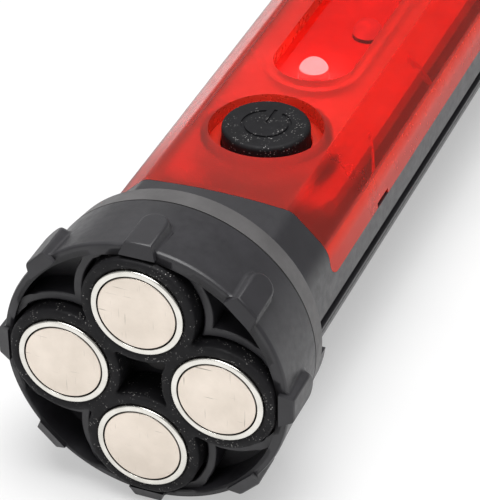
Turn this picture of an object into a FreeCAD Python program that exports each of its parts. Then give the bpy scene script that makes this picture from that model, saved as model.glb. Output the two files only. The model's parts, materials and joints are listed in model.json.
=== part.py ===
import FreeCAD, Part
import math
import os
import re
import Sketcher

# Handheld traffic baton light, lying on its back.
# Origin: centre of the four magnet faces. +Y runs along the baton away from
# the magnets, +Z is the button side, +X is the right-hand side. Millimetres.

DOC = FreeCAD.newDocument("traffic_baton_light")
SHEET = DOC.addObject("Spreadsheet::Sheet", "Sizes")

SIZES = {
    # magnet base
    "magnet_radius": 8.0,
    "magnet_circle": 13.5,
    "magnet_depth": 5.0,
    "core_radius": 6.75,
    "core_depth": 3.6,
    "core_gap": 0.22,
    "lobe_radius": 9.95,
    "boot_front": 0.35,
    "wall_gap": 0.6,
    "clover_wall": 1.6,
    "clover_front": 2.6,
    # screw cap
    "rim_front": 1.5,
    "rim_slope": 0.65,
    "rim_edge": 0.2,
    "rim_inner": 23.3,
    "cap_radius": 25.0,
    "cap_rear_radius": 24.2,
    "cap_floor": 7.5,
    "floor_thick": 1.5,
    "cap_rear": 16.2,
    "socket_radius": 22.6,
    "lug_width": 6.2,
    "lug_front": 0.9,
    "lug_rear": 11.3,
    "lug_root": 23.7,
    "lug_radius": 26.1,
    "lug_draft": 20.0,
    "lug_count": 8,
    # collar rings and spigots
    "joint_gap": 0.3,
    "way_gap": 0.2,
    "assembly_gap": 0.1,
    "lip_gap": 0.05,
    "groove_front": 13.8,
    "groove_rear": 15.6,
    "collar_rear": 20.7,
    "collar_small": 23.65,
    "spigot_radius": 22.2,
    "spigot_bore": 20.2,
    "spigot_front": 9.6,
    "plug_depth": 5.5,
    "seal_wire": 0.8,
    "seal_centre": 21.7,
    # body section, half widths and heights
    "top_half": 12.6,
    "top_z": 15.6,
    "facet_half": 19.9,
    "facet_z": 8.4,
    "side_half": 20.4,
    "shell_edge": 2.7,
    "rail_edge": -2.3,
    "back_edge": -2.75,
    "seam_edge": -4.3,
    "seam_depth": 0.9,
    "bead_edge": -5.05,
    "bead_groove": 0.4,
    "bead_gap": 0.25,
    "turn_z": -7.4,
    "back_half": 12.5,
    "back_z": -17.8,
    "housing_wall": 2.3,
    "shell_wall": 2.2,
    "corner_share": 0.414,
    "turn_share": 0.28,
    "back_share": 0.53,
    "crown_radius": 120.0,
    "crease_round": 3.0,
    "facet_round": 6.0,
    "turn_round": 4.0,
    "back_round": 3.0,
    "body_end": 205.0,
    "flange_depth": 2.0,
    # lens shell
    "shell_front": 33.5,
    "shell_rear": 199.0,
    "shell_round": 3.5,
    "well_radius": 10.1,
    "well_wall": 1.4,
    "well_bottom": 10.4,
    "button_y": 55.3,
    "window_half": 7.5,
    "window_front": 71.3,
    "window_rear": 189.0,
    "window_depth": 2.6,
    "window_floor": 1.2,
    "pan_wall": 1.3,
    "notch_y": 56.2,
    "notch_length": 5.2,
    "notch_height": 1.0,
    "notch_depth": 1.6,
    # lamp board and tray
    "lip_inner": 16.0,
    "lip_top": 5.0,
    "lip_step": 0.4,
    "neck_lip": 3.0,
    "neck_lip_wall": 1.2,
    "board_half": 17.0,
    "board_thick": 1.6,
    "board_front": 44.0,
    "board_rear": 196.0,
    "tray_half": 15.5,
    "tray_thick": 1.4,
    "tray_front": 45.0,
    "tray_rear": 195.0,
    "tray_rail": 1.2,
    "tray_rim": 1.6,
    "led_radius": 2.8,
    "led_first": 84.0,
    "led_pitch": 16.5,
    "led_offset": 2.2,
    "led_height": 4.9,
    "led_count": 7,
    # power button
    "button_radius": 7.75,
    "button_top": 15.9,
    "button_bottom": 11.5,
    "stem_radius": 2.6,
    "stem_bottom": 9.5,
    "button_travel": 0.8,
    "switch_half": 3.0,
    "switch_top": 8.5,
    "plunger_radius": 1.7,
    "plunger_bottom": 8.1,
    "running_gap": 0.06,
    "symbol_radius": 4.4,
    "symbol_line": 0.6,
    "symbol_depth": 0.35,
    "symbol_gap": 1.5,
    "bar_start": 0.2,
    "bar_length": 4.6,
    "stem_gap": 0.4,
    "seal_thick": 0.9,
    # battery compartment
    "cell_radius": 7.15,
    "cell_length": 50.4,
    "cell_front": 11.5,
    "cell_x": 7.6,
    "cell_z": -7.6,
    "nub_radius": 2.75,
    "nub_length": 1.0,
    "passage_radius": 7.65,
    "bay_rear": 119.5,
    "spring_radius": 4.2,
    "spring_wire": 0.45,
    "spring_turns": 3.5,
    "plate_thick": 0.5,
    "plate_half": 5.0,
    "bulkhead_thick": 2.2,
    "carrier_radius": 19.5,
    "carrier_front": 9.3,
    "carrier_thick": 1.6,
    "boss_radius": 2.94,
    "boss_hole": 3.0,
    "bridge_end": 5.15,
    "bridge_half": 3.0,
    # torch head
    "head_front": 238.0,
    "bezel_radius": 25.0,
    "bezel_lip": 20.8,
    "bezel_edge": 0.8,
    "head_lug_front": 238.3,
    "head_lug_rear": 227.9,
    "head_lens_radius": 22.4,
    "head_lens_thick": 2.2,
    "lip_thick": 3.0,
    "reflector_throat": 4.0,
    "reflector_wall": 1.0,
    "reflector_rim": 0.8,
    "head_board_radius": 14.0,
    "head_board_thick": 1.6,
    "emitter_half": 1.75,
    "emitter_height": 1.4,
    "lead_radius": 0.8,
    "lead_x": 4.0,
    "lead_z": 4.2,
    "lead_overlap": 4.0,
    "hollow_half": 9.0,
    "hollow_low": -13.8,
    "hollow_height": 12.0,
    # hanging hook
    "hook_half": 6.5,
    "hook_thick": 3.0,
    "hook_z": -15.5,
    "hook_pivot": 186.0,
    "hook_tip": 150.0,
    "hook_eye": 3.8,
    "eye_offset": 1.0,
    "eye_y": 158.5,
    "throat_y": 166.5,
    "slot_length": 12.0,
    "barrel_radius": 2.0,
    "pin_radius": 1.0,
    "pin_gap": 0.05,
    "pin_seat": 1.5,
    "pocket_half": 8.0,
    "pocket_front": 138.0,
    "pocket_rear": 190.5,
    "pocket_roof": -13.0,
    "pocket_wall": 2.0,
    # housing screws
    "screw_x": 11.4,
    "screw_front": 128.0,
    "screw_rear": 194.0,
    "screw_radius": 1.25,
    "screw_head": 2.6,
    "screw_length": 12.0,
    "head_height": 2.0,
    "thread_bite": 0.15,
    "sink_depth": 4.5,
    "tower_wall": 1.4,
    "tower_height": 4.8,
    "boss_wall": 2.8,
    "post_bottom": -11.0,
    "web_half": 1.2,
    "web_height": 4.0,
    # modelling helpers: tools run past a face by margin, fused pieces meet by
    # overlap, and reach passes through the whole body
    "margin": 1.0,
    "overlap": 0.5,
    "reach": 30.0,
}

for row, (alias, value) in enumerate(SIZES.items(), start=1):
    SHEET.set("A%d" % row, alias)
    SHEET.set("B%d" % row, str(value))
    SHEET.setAlias("B%d" % row, alias)
DOC.recompute()

PARTS = []
ALONG_Y = FreeCAD.Rotation(FreeCAD.Vector(1, 0, 0), -90)
ALONG_X = FreeCAD.Rotation(FreeCAD.Vector(0, 1, 0), 90)
ALONG_Z = FreeCAD.Rotation()
AXES = {"X": ALONG_X, "Y": ALONG_Y, "Z": ALONG_Z}


def sheet_text(text):
    """Write every alias in an expression as a reference to the sheet."""
    return re.sub(
        r"[a-z][a-z_0-9]*",
        lambda word: "Sizes." + word.group() if word.group() in SIZES else word.group(),
        str(text),
    )


def bind(thing, path, text):
    thing.setExpression(path, sheet_text(text))


def place(thing, x, y, z, rotation=ALONG_Z):
    thing.Placement = FreeCAD.Placement(FreeCAD.Vector(), rotation)
    for letter, text in (("x", x), ("y", y), ("z", z)):
        bind(thing, "Placement.Base." + letter, text)


def cylinder(name, radius, length, x="0", y="0", z="0", axis="Y"):
    thing = DOC.addObject("Part::Cylinder", name)
    bind(thing, "Radius", radius)
    bind(thing, "Height", length)
    place(thing, x, y, z, AXES[axis])
    return thing


def box(name, low, span):
    thing = DOC.addObject("Part::Box", name)
    for path, text in zip(("Length", "Width", "Height"), span):
        bind(thing, path, text)
    place(thing, *low)
    return thing


def torus(name, radius, wire, y):
    thing = DOC.addObject("Part::Torus", name)
    bind(thing, "Radius1", radius)
    bind(thing, "Radius2", wire)
    place(thing, "0", y, "0", ALONG_Y)
    return thing


def fuse(name, *things):
    thing = DOC.addObject("Part::MultiFuse", name)
    thing.Shapes = list(things)
    thing.Refine = True
    return thing


def common(name, *things):
    thing = DOC.addObject("Part::MultiCommon", name)
    thing.Shapes = list(things)
    return thing


def cut(name, base, *tools):
    thing = DOC.addObject("Part::Cut", name)
    thing.Base = base
    thing.Tool = tools[0] if len(tools) == 1 else fuse(name + "_tools", *tools)
    thing.Refine = True
    return thing


def origin_feature(body, role):
    return next(item for item in body.Origin.OriginFeatures if item.Role == role)


def outline_sketch(body, name, role, outline, offset="0"):
    """A closed polygon whose corners are all held by sheet expressions."""
    sketch = body.newObject("Sketcher::SketchObject", name)
    sketch.AttachmentSupport = [(origin_feature(body, role), "")]
    sketch.MapMode = "FlatFace"
    bind(sketch, "AttachmentOffset.Base.z", offset)
    corners = [[evaluate(text) for text in pair] for pair in outline]
    count = len(outline)
    for index in range(count):
        start = FreeCAD.Vector(*corners[index], 0)
        end = FreeCAD.Vector(*corners[(index + 1) % count], 0)
        sketch.addGeometry(Part.LineSegment(start, end), False)
    for index in range(count):
        sketch.addConstraint(Sketcher.Constraint("Coincident", index, 2, (index + 1) % count, 1))
    for index, pair in enumerate(outline):
        for kind, text, value in zip(("DistanceX", "DistanceY"), pair, corners[index]):
            number = sketch.addConstraint(Sketcher.Constraint(kind, -1, 1, index, 1, value))
            bind(sketch, "Constraints[%d]" % number, text)
    return sketch


def evaluate(text):
    """The present value of an expression, for a sketch's starting corners."""
    return float(SHEET.evalExpression(sheet_text(text)))


def prism(name, role, outline, start, length):
    """Pad a polygon. XZ outlines run along +Y, XY outlines along +Z, YZ along +X."""
    body = DOC.addObject("PartDesign::Body", name)
    backwards = role == "XZ_Plane"
    offset = "-(%s)" % start if backwards else start
    sketch = outline_sketch(body, name + "_outline", role, outline, offset)
    pad = body.newObject("PartDesign::Pad", name + "_pad")
    pad.Profile = sketch
    pad.Reversed = backwards
    bind(pad, "Length", length)
    return body


def turned(name, outline):
    """Revolve a polygon of (radius, y) corners about the baton's axis."""
    body = DOC.addObject("PartDesign::Body", name)
    sketch = outline_sketch(body, name + "_outline", "XY_Plane", outline)
    turn = body.newObject("PartDesign::Revolution", name + "_turn")
    turn.Profile = sketch
    turn.ReferenceAxis = (sketch, ["V_Axis"])
    turn.Angle = 360
    return body


def keep(label, thing):
    """Mark a finished sub-part: its label is its node and its file."""
    thing.Label = label
    PARTS.append((label, thing))
    return thing


def both_sides(half_outline):
    """Mirror a list of right-hand (x, z) corners into a closed outline."""
    left = [("-(%s)" % x, z) for x, z in reversed(half_outline)]
    return half_outline + left


def upper_corners(inset):
    """Right-hand corners of the body above the shell's lower edge."""
    return [
        ("top_half - corner_share * (%s)" % inset, "top_z - (%s)" % inset),
        ("facet_half - (%s)" % inset, "facet_z - corner_share * (%s)" % inset),
        ("side_half - (%s)" % inset, "shell_edge"),
    ]


def upper_section(inset, bottom):
    """Flat top, sloped facets and upright sides of the body, moved in by inset."""
    return both_sides(upper_corners(inset) + [("side_half - (%s)" % inset, bottom)])


def rounded(name, base, radius_at):
    """Round a prism's long edges: radius_at(x, z) names the size for an edge, or None."""
    DOC.recompute()
    fillet = DOC.addObject("Part::Fillet", name)
    fillet.Base = base
    chosen = []
    for number, edge in enumerate(base.Shape.Edges, start=1):
        start, end = edge.Vertexes[0].Point, edge.Vertexes[-1].Point
        runs_along_y = abs(end.y - start.y) > edge.Length - evaluate("assembly_gap")
        alias = radius_at(abs(start.x), start.z) if runs_along_y else None
        if alias:
            chosen.append((number, evaluate(alias), evaluate(alias)))
    fillet.Edges = chosen
    return fillet


def upper_round(x, z):
    """Roundings of the two creases above the shell's lower edge."""
    if z > evaluate("facet_z + margin"):
        return "crease_round"
    return "facet_round" if z > evaluate("shell_edge + margin") else None


def lower_round(x, z):
    """Roundings of the two creases of the back."""
    if z < evaluate("back_z + margin"):
        return "back_round"
    return "turn_round" if z < evaluate("turn_z + margin") else None


def crowned(name, blank):
    """Give a prism of the upper body its crowned top and its rounded creases."""
    crown = cylinder(name + "_crown", "crown_radius", "body_end + 2 * margin", y="-margin",
                     z="top_z - crown_radius")
    return rounded(name, common(name + "_shaped", blank, crown), upper_round)


def shell_corners(name, clearance):
    """What the rounded lower corners leave of a square shell outline, at both ends."""
    pieces = []
    ends = (("front", "shell_front + shell_round", "shell_front - margin"),
            ("rear", "shell_rear - shell_round", "shell_rear - shell_round"))
    for word, centre, low in ends:
        block = box("%s_%s_block" % (name, word), ("-reach", low, "shell_edge - margin"),
                    ("2 * reach", "shell_round + margin", "shell_round + margin"))
        bend = cylinder("%s_%s_bend" % (name, word), "shell_round - (%s)" % clearance, "2 * reach",
                        "-reach", centre, "shell_edge + shell_round - (%s)" % clearance, "X")
        pieces.append(cut("%s_%s" % (name, word), block, bend))
    return pieces


def pill(name, half_width, front, rear, bottom, height):
    """An upright pill from its front tip to its rear tip."""
    first = cylinder(name + "_first", half_width, height, "0", front + " + " + half_width, bottom, "Z")
    last = cylinder(name + "_last", half_width, height, "0", rear + " - (" + half_width + ")", bottom, "Z")
    middle = box(
        name + "_middle",
        ("-(%s)" % half_width, front + " + " + half_width, bottom),
        ("2 * (%s)" % half_width, "%s - (%s) - 2 * (%s)" % (rear, front, half_width), height),
    )
    return fuse(name, first, middle, last)


def add_lugs(body, front, rear, pad_direction):
    """Drafted grip lugs around a turned ring, round at the end away from its rim."""
    width = "lug_width / 2"
    tip = "(%s) - (%s) * (%d)" % (rear, width, pad_direction)
    sketch = body.newObject("Sketcher::SketchObject", body.Name + "_lug")
    sketch.AttachmentSupport = [(origin_feature(body, "XY_Plane"), "")]
    sketch.MapMode = "FlatFace"
    bind(sketch, "AttachmentOffset.Base.z", "lug_root")
    half = evaluate(width)
    y_front = evaluate(front)
    y_tip = evaluate(tip)
    corners = [(-half, y_tip), (-half, y_front), (half, y_front), (half, y_tip)]
    for start, end in zip(corners, corners[1:]):
        line = Part.LineSegment(FreeCAD.Vector(*start, 0), FreeCAD.Vector(*end, 0))
        sketch.addGeometry(line, False)
    far = FreeCAD.Vector(0, y_tip + half * pad_direction, 0)
    arc = Part.Arc(FreeCAD.Vector(half, y_tip, 0), far, FreeCAD.Vector(-half, y_tip, 0))
    sketch.addGeometry(arc, False)
    arc_start, arc_end = (1, 2) if pad_direction > 0 else (2, 1)
    sketch.addConstraint(Sketcher.Constraint("Coincident", 0, 2, 1, 1))
    sketch.addConstraint(Sketcher.Constraint("Coincident", 1, 2, 2, 1))
    sketch.addConstraint(Sketcher.Constraint("Coincident", 2, 2, 3, arc_start))
    sketch.addConstraint(Sketcher.Constraint("Coincident", 3, arc_end, 0, 1))
    for number, kind, point, text in (
        (0, "DistanceX", 1, "-" + width),
        (0, "DistanceY", 1, tip),
        (1, "DistanceX", 1, "-" + width),
        (1, "DistanceY", 1, front),
        (2, "DistanceX", 1, width),
        (2, "DistanceY", 1, front),
        (2, "DistanceX", 2, width),
        (2, "DistanceY", 2, tip),
        (3, "DistanceY", 3, tip),
    ):
        value = evaluate(text)
        spot = sketch.addConstraint(Sketcher.Constraint(kind, -1, 1, number, point, value))
        bind(sketch, "Constraints[%d]" % spot, text)
    pad = body.newObject("PartDesign::Pad", body.Name + "_lug_pad")
    pad.Profile = sketch
    bind(pad, "Length", "lug_radius - lug_root")
    bind(pad, "TaperAngle", "-lug_draft")
    DOC.recompute()
    ring = body.newObject("PartDesign::PolarPattern", body.Name + "_lug_ring")
    ring.Originals = [pad]
    ring.Axis = (origin_feature(body, "Y_Axis"), [""])
    ring.Angle = 360
    bind(ring, "Occurrences", "lug_count")
    body.Tip = ring
    return body


def build_magnet_cap():
    """Screw cap: rim with grip lugs, clover walls in front, socket behind."""
    ring = turned("cap_ring", [
        ("rim_inner", "rim_front"),
        ("cap_radius - rim_edge", "rim_front + rim_slope"),
        ("cap_radius", "rim_front + rim_slope + rim_edge"),
        ("cap_rear_radius", "cap_rear"),
        ("socket_radius", "cap_rear"),
        ("socket_radius", "cap_floor + floor_thick"),
        ("boss_hole", "cap_floor + floor_thick"),
        ("boss_hole", "cap_floor"),
        ("rim_inner", "cap_floor"),
    ])
    add_lugs(ring, "lug_front", "lug_rear", 1)
    pocket = "lobe_radius + wall_gap"
    walls = clover("clover_outer", pocket + " + clover_wall", "clover_front",
                   "cap_floor - clover_front + overlap")
    hollow = clover("clover_inner", pocket, "clover_front - margin", "cap_floor - clover_front + margin")
    core = cylinder("clover_core", "magnet_circle - margin", "cap_floor + 2 * margin")
    edge = cylinder("clover_edge", "rim_inner + overlap", "cap_floor + margin")
    ribs = cut("clover_ribs", common("clover_round", walls, edge), hollow, core)
    keep("magnet_cap", fuse("magnet_cap_solid", ring, ribs))


def clover(name, radius, front, length):
    """Four overlapping round columns, one about each magnet."""
    columns = []
    for number, (x, z) in enumerate(magnet_places(), start=1):
        columns.append(cylinder("%s_%d" % (name, number), radius, length, x, front, z))
    return fuse(name, *columns)


def magnet_places():
    return [
        ("0", "magnet_circle"),
        ("magnet_circle", "0"),
        ("0", "-magnet_circle"),
        ("-magnet_circle", "0"),
    ]


def build_magnets():
    """Rubber boot with four pot magnets, each a plated cup around a core."""
    lobes = clover("boot_lobes", "lobe_radius", "boot_front", "cap_floor - boot_front")
    trim = cylinder("boot_trim", "rim_inner - assembly_gap", "cap_floor")
    seats = clover("boot_seats", "magnet_radius", "-margin", "magnet_depth + margin")
    keep("magnet_boot", cut("boot_solid", common("boot_round", lobes, trim), seats))
    for number, (x, z) in enumerate(magnet_places(), start=1):
        tag = "_%d" % number
        shell = cylinder("cup_blank" + tag, "magnet_radius", "magnet_depth", x, "0", z)
        room = cylinder("cup_room" + tag, "core_radius + core_gap", "core_depth + margin", x, "-margin", z)
        keep("magnet_cup" + tag, cut("cup" + tag, shell, room))
        keep("magnet_core" + tag, cylinder("core" + tag, "core_radius", "core_depth", x, "0", z))


def build_contact_carrier():
    """Disc that stays unturned inside the cap and bridges the two cell columns."""
    disc = cylinder("carrier_disc", "carrier_radius", "carrier_thick", y="carrier_front")
    boss = cylinder("carrier_boss", "boss_radius", "carrier_front - cap_floor", y="cap_floor")
    keep("contact_carrier", fuse("carrier_solid", disc, boss))
    front = "carrier_front + carrier_thick"
    ends = []
    for name, side in (("right", ""), ("left", "-")):
        ends.append(cylinder("bridge_end_" + name, "bridge_end", "plate_thick", side + "cell_x", front,
                             "cell_z"))
    strip = box("bridge_strip", ("-cell_x", front, "cell_z - bridge_half"),
                ("2 * cell_x", "plate_thick", "2 * bridge_half"))
    keep("bridge_contact", fuse("bridge_solid", strip, *ends))


def battery_passage(name, front, length):
    """The slot that both cell columns pass through."""
    left = cylinder(name + "_left", "passage_radius", length, "-cell_x", front, "cell_z")
    right = cylinder(name + "_right", "passage_radius", length, "cell_x", front, "cell_z")
    middle = box(name + "_middle", ("-cell_x", front, "cell_z - passage_radius"),
                 ("2 * cell_x", length, "2 * passage_radius"))
    return fuse(name, left, middle, right)


def inner_section(inset):
    """The closed space inside the two housing halves."""
    return both_sides(upper_corners(inset) + lower_corners(inset, "bead_edge"))


def lower_corners(inset, top):
    """Right-hand corners of the space inside the back housing."""
    return [
        ("side_half - (%s)" % inset, top),
        ("facet_half - (%s)" % inset, "turn_z + turn_share * (%s)" % inset),
        ("back_half - back_share * (%s)" % inset, "back_z + (%s)" % inset),
    ]


def collar_ring(name, station):
    """Turned collar: spigot with a seal groove, then a conical flange."""
    return turned(name, [
        ("spigot_bore", station("spigot_front")),
        ("spigot_radius", station("spigot_front")),
        ("spigot_radius", station("groove_front")),
        ("seal_centre - seal_wire", station("groove_front")),
        ("seal_centre - seal_wire", station("groove_rear")),
        ("spigot_radius", station("groove_rear")),
        ("spigot_radius", station("cap_rear + joint_gap")),
        ("cap_rear_radius", station("cap_rear + joint_gap")),
        ("collar_small", station("collar_rear")),
        ("0", station("collar_rear")),
        ("0", station("cap_rear + joint_gap")),
        ("spigot_bore", station("cap_rear + joint_gap")),
    ])


def at_base(text):
    return text


def at_head(text):
    """The same station counted back from the other end of the body."""
    return "body_end + collar_rear - (%s)" % text


def build_collars():
    """Threaded collar for the cap and its twin that carries the torch head."""
    section = inner_section("housing_wall + assembly_gap")
    base = collar_ring("collar_ring", at_base)
    plug = prism("collar_plug", "XZ_Plane", section, "collar_rear", "plug_depth")
    passage = battery_passage("collar_passage", "cap_rear", "reach")
    keep("threaded_collar", cut("threaded_collar_solid", fuse("collar_blank", base, plug), passage))
    groove = "(groove_front + groove_rear) / 2"
    keep("cap_seal", torus("cap_seal_ring", "seal_centre", "seal_wire", groove))
    head = collar_ring("head_collar_ring", at_head)
    head_plug = prism("head_plug", "XZ_Plane", section, "body_end - plug_depth", "plug_depth")
    ways = [cylinder("lead_way_%d" % number, "lead_radius + way_gap", "reach", x,
                     "body_end - reach / 2", "lead_z")
            for number, x in enumerate(("lead_x", "-lead_x"), start=1)]
    notches = [cylinder("post_way_%d" % number, "boss_wall + joint_gap", "2 * reach", x, "screw_rear",
                        "-reach", "Z")
               for number, x in enumerate(("screw_x", "-screw_x"), start=1)]
    hollow = box("plug_hollow", ("-hollow_half", "body_end - plug_depth - margin", "hollow_low"),
                 ("2 * hollow_half", "plug_depth - margin", "hollow_height"))
    blank = fuse("head_collar_blank", head, head_plug)
    keep("head_collar", cut("head_collar_solid", blank, hollow, *ways, *notches))
    keep("head_seal", torus("head_seal_ring", "seal_centre", "seal_wire", at_head(groove)))


def build_housings():
    """Upper frame with neck and side rails, and lower trough with hook pocket."""
    length = "body_end - collar_rear"
    blank = prism("frame_blank", "XZ_Plane", upper_section("0", "rail_edge"), "collar_rear", length)
    upper = crowned("frame_outer", blank)
    inside = prism("frame_inner", "XZ_Plane", upper_section("housing_wall", "rail_edge - margin"),
                   "collar_rear - margin", length + " + 2 * margin")
    square_seat = box("square_seat", ("-reach", "shell_front", "shell_edge"),
                      ("2 * reach", "shell_rear - shell_front", "reach"))
    seat = cut("shell_seat", square_seat, *shell_corners("seat_corner", "0"))
    lip = [
        ("lip_inner", "rail_edge"),
        ("side_half - housing_wall + lip_gap", "rail_edge"),
        ("side_half - housing_wall + lip_gap", "shell_edge - lip_step"),
        ("side_half - housing_wall - lip_step", "shell_edge"),
        ("side_half - housing_wall - lip_step", "lip_top"),
        ("lip_inner", "lip_top"),
    ]
    mirrored_lip = [("-(%s)" % x, z) for x, z in reversed(lip)]
    lip_start = "collar_rear + plug_depth + overlap"
    lip_length = "body_end - collar_rear - 2 * plug_depth - 2 * overlap"
    adds = [
        prism("lip_right", "XZ_Plane", lip, lip_start, lip_length),
        prism("lip_left", "XZ_Plane", mirrored_lip, lip_start, lip_length),
    ]
    for number, (x, y) in enumerate(screw_places(), start=1):
        adds.append(cylinder("screw_post_%d" % number, "boss_wall", "lip_top - way_gap - post_bottom", x, y,
                             "post_bottom", "Z"))
        low = "screw_x" if x == "screw_x" else "-lip_inner - margin"
        adds.append(box("post_web_%d" % number, (low, y + " - web_half", "rail_edge"),
                        ("lip_inner + margin - screw_x", "2 * web_half", "web_height")))
    under = prism("neck_lip_outer", "XZ_Plane", upper_section("housing_wall", "shell_edge - margin"),
                  "shell_front - neck_lip", "2 * neck_lip")
    under_room = prism("neck_lip_inner", "XZ_Plane",
                       upper_section("housing_wall + neck_lip_wall", "rail_edge"),
                       "shell_front - neck_lip - margin", "2 * neck_lip + 2 * margin")
    neck_lip = cut("neck_lip", under, under_room)
    frame = cut("frame_open", upper, inside, seat)
    holes = [cylinder("pilot_%d" % number, "screw_radius - thread_bite", "screw_length", x, y,
                      "post_bottom - margin", "Z")
             for number, (x, y) in enumerate(screw_places(), start=1)]
    keep("front_housing", cut("front_housing_solid", fuse("frame_whole", frame, neck_lip, *adds), *holes))
    build_back_housing(length)


def screw_places():
    return [
        ("screw_x", "screw_front"),
        ("-screw_x", "screw_front"),
        ("screw_x", "screw_rear"),
        ("-screw_x", "screw_rear"),
    ]


def build_back_housing(length):
    blank = prism("back_blank", "XZ_Plane", both_sides([
        ("side_half - seam_depth", "back_edge"),
        ("side_half - seam_depth", "seam_edge"),
        ("side_half", "seam_edge - assembly_gap"),
        ("side_half", "bead_edge"),
        ("side_half - bead_groove", "bead_edge - assembly_gap"),
        ("side_half - bead_groove", "bead_edge - bead_gap"),
        ("side_half - assembly_gap", "bead_edge - bead_gap - assembly_gap"),
        ("facet_half", "turn_z"),
        ("back_half", "back_z"),
    ]), "collar_rear", length)
    outer = rounded("back_outer", blank, lower_round)
    mouth = [("side_half - housing_wall", "back_edge + margin")]
    room = prism("back_room", "XZ_Plane", both_sides(mouth + lower_corners("housing_wall", "bead_edge")),
                 "collar_rear - margin", length + " + 2 * margin")
    half_round = cylinder("flange_round", "collar_small", "flange_depth", y="collar_rear")
    lower = box("flange_half", ("-reach", "collar_rear - margin", "-reach"),
                ("2 * reach", "flange_depth + 2 * margin", "reach + back_edge"))
    flange = common("back_flange", half_round, lower)
    shell = cut("back_shell", fuse("back_flanged", outer, flange), room)
    pocket_block = box("pocket_block",
                       ("-pocket_half - pocket_wall", "pocket_front - pocket_wall", "back_z + margin"),
                       ("2 * (pocket_half + pocket_wall)", "pocket_rear - pocket_front + 2 * pocket_wall",
                        "pocket_roof + pocket_wall - back_z - margin"))
    bulkhead = prism("bulkhead", "XZ_Plane", both_sides(lower_corners("housing_wall", "bead_edge")),
                     "bay_rear", "bulkhead_thick")
    towers = []
    holes = []
    for number, (x, y) in enumerate(screw_places(), start=1):
        towers.append(cylinder("tower_%d" % number, "screw_head + tower_wall", "tower_height", x, y,
                               "back_z + 2 * margin", "Z"))
        holes.append(cylinder("screw_hole_%d" % number, "screw_radius + way_gap", "reach", x, y,
                              "-reach", "Z"))
        holes.append(cylinder("screw_sink_%d" % number, "screw_head + way_gap", "sink_depth + margin", x, y,
                              "back_z - margin", "Z"))
    pocket = box("hook_pocket", ("-pocket_half", "pocket_front", "back_z - margin"),
                 ("2 * pocket_half", "pocket_rear - pocket_front", "pocket_roof - back_z + margin"))
    pin_way = cylinder("pin_way", "pin_radius", "2 * (pocket_half + pin_seat)", "-pocket_half - pin_seat",
                       "hook_pivot", "hook_z", "X")
    inner_towers = common("towers_inside", fuse("towers", *towers), outer)
    whole = fuse("back_whole", shell, pocket_block, bulkhead, inner_towers)
    keep("back_housing", cut("back_housing_solid", whole, pocket, pin_way, *holes))


def build_lens_shell():
    """Translucent cover with a button well, a recessed window and a pry notch."""
    length = "shell_rear - shell_front"
    square = prism("shell_square", "XZ_Plane", both_sides(upper_corners("0")),
                   "shell_front + assembly_gap", length + " - 2 * assembly_gap")
    outer = crowned("shell_outer", square)
    inner = prism("shell_inner", "XZ_Plane", upper_section("shell_wall", "shell_edge - margin"),
                  "shell_front - margin", length + " + 2 * margin")
    skirt = cylinder("well_skirt", "well_radius + well_wall", "top_z - shell_wall - well_bottom + overlap",
                     "0", "button_y", "well_bottom", "Z")
    well = cylinder("well_hole", "well_radius", "reach", "0", "button_y", "0", "Z")
    floor_z = "top_z - window_depth - window_floor"
    pan = pill("window_pan", "window_half + pan_wall", "window_front - pan_wall", "window_rear + pan_wall",
               floor_z, "window_depth + window_floor - margin")
    recess = pill("window_recess", "window_half", "window_front", "window_rear",
                  "top_z - window_depth", "reach")
    notch = box("pry_notch", ("side_half - notch_depth", "notch_y", "shell_edge - margin"),
                ("2 * notch_depth", "notch_length", "margin + notch_height"))
    blank = fuse("shell_blank", cut("shell_open", outer, inner), skirt, pan)
    corners = shell_corners("shell_corner", "assembly_gap")
    keep("lens_shell", cut("lens_shell_solid", blank, well, recess, notch, *corners))


def led_places():
    """Lamps staggered left and right of the window's centre line."""
    places = []
    for number in range(int(SIZES["led_count"])):
        side = "-led_offset" if number % 2 == 0 else "led_offset"
        places.append((side, "led_first + %d * led_pitch" % number))
    return places


def build_lamps():
    """Lamp board, white reflector tray and the row of domed lamps."""
    board_top = "lip_top + board_thick"
    board = box("board_blank", ("-board_half", "board_front", "lip_top"),
                ("2 * board_half", "board_rear - board_front", "board_thick"))
    keep("lamp_board", board)
    base = box("tray_blank", ("-tray_half", "tray_front", board_top),
               ("2 * tray_half", "tray_rear - tray_front", "tray_thick"))
    rails = [box("tray_rail_" + name, (low, "tray_front", board_top + " + tray_thick"),
                 ("tray_rail", "tray_rear - tray_front", "tray_rim"))
             for name, low in (("left", "-tray_half"), ("right", "tray_half - tray_rail"))]
    button_room = cylinder("tray_button_room", "well_radius + well_wall + joint_gap", "reach", "0",
                           "button_y", "0", "Z")
    holes = [cylinder("tray_hole_%d" % number, "led_radius + assembly_gap", "reach", x, y, "0", "Z")
             for number, (x, y) in enumerate(led_places(), start=1)]
    keep("reflector_tray", cut("tray_solid", fuse("tray_whole", base, *rails), button_room, *holes))
    for number, (x, y) in enumerate(led_places(), start=1):
        tag = "_%d" % number
        stalk = cylinder("led_body" + tag, "led_radius", "led_height - led_radius", x, y, board_top, "Z")
        dome = DOC.addObject("Part::Sphere", "led_dome" + tag)
        bind(dome, "Radius", "led_radius")
        dome.Angle1 = 0
        place(dome, x, y, board_top + " + led_height - led_radius")
        keep("signal_lamp" + tag, fuse("led" + tag, stalk, dome))


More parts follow.
